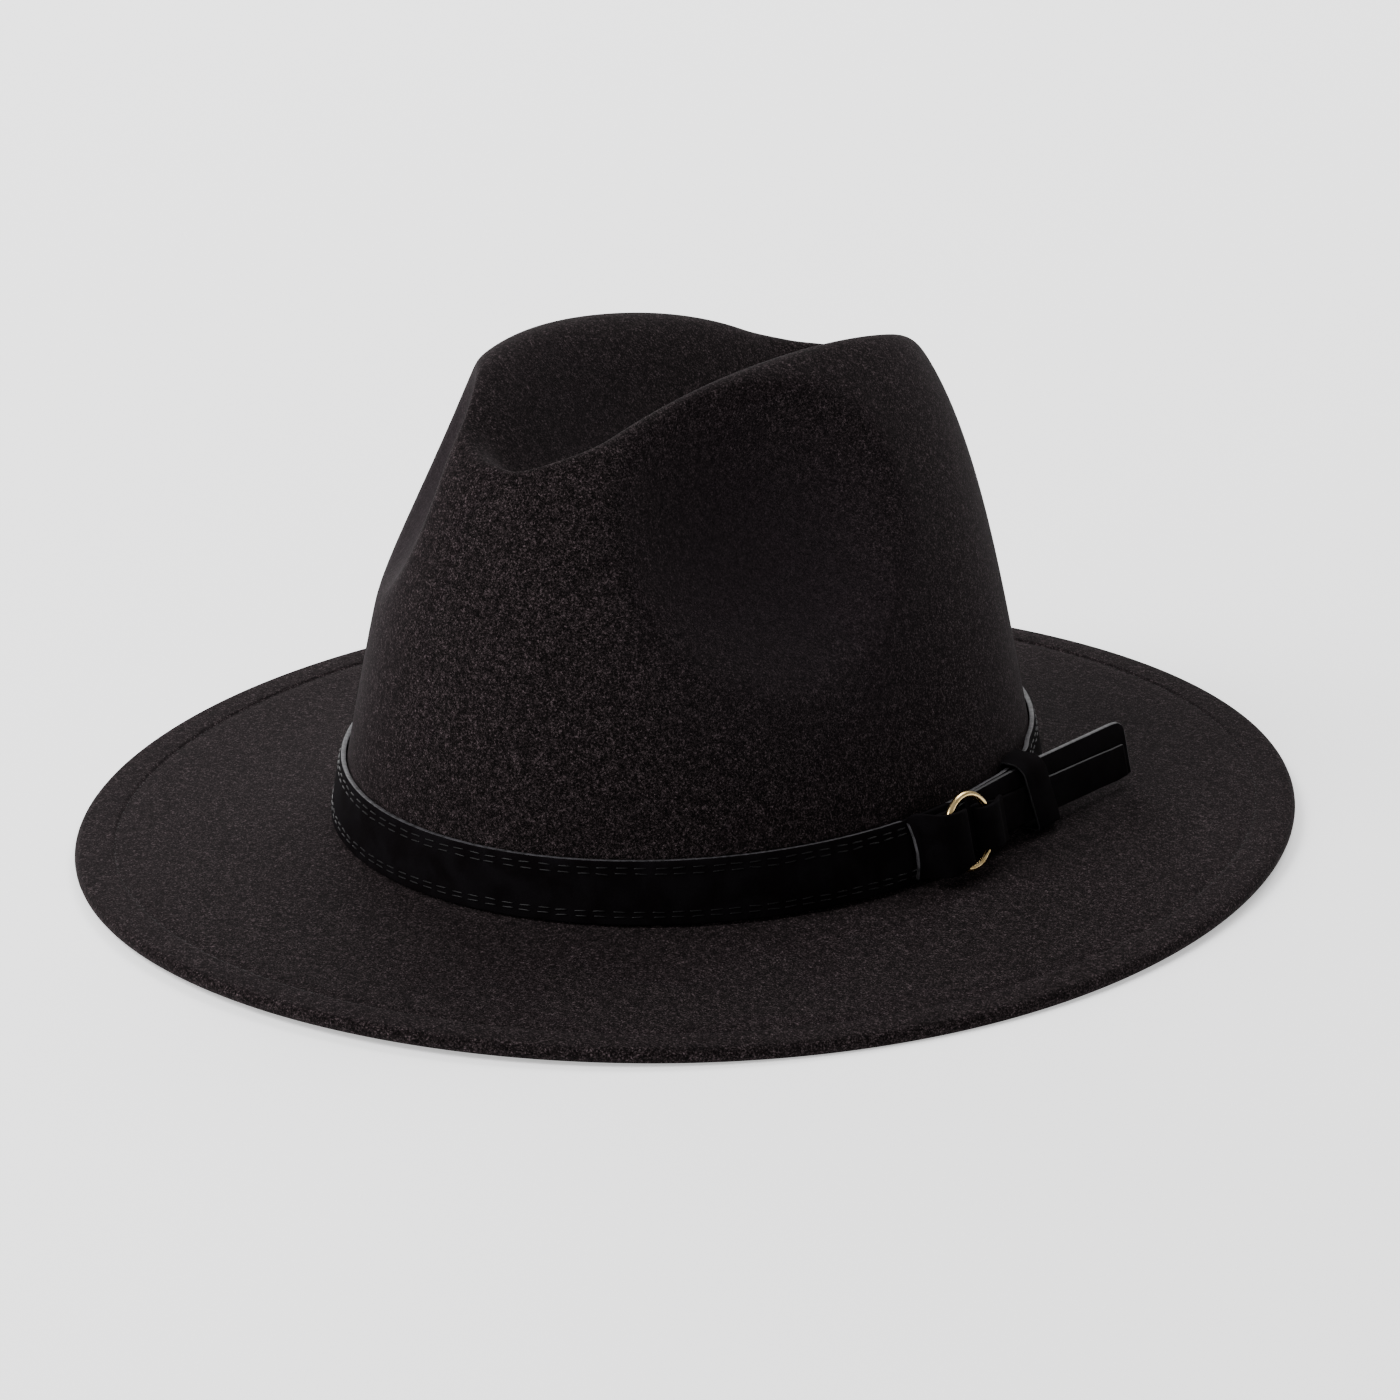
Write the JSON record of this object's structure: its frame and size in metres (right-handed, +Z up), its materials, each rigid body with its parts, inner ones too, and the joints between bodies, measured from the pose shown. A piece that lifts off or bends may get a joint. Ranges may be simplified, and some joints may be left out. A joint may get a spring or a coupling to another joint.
{
  "type": "fedora",
  "caption": "Wide-brimmed felt fedora with a creased and pinched crown and a suede belt band held by a ring and a keeper at one side.",
  "frame": {"origin": "centre of the bounding box in plan, at the height of the surface that the brim rests on", "axes": "+Z up through the crown, -Y towards the front of the hat, +X towards the wearer's left, where the ring and the keeper are"},
  "size_m": [0.3056, 0.3472, 0.1337],
  "materials": {
    "felt": "black wool felt, matt with a short nap",
    "suede": "black suede, very matt",
    "gold": "polished pale gold plating"
  },
  "bodies": {
    "root": {"felt_body": "felt", "hat_band": "suede", "band_fold": "suede", "ring": "gold", "tongue": "suede", "tail": "suede", "keeper": "suede"}
  },
  "joints": []
}
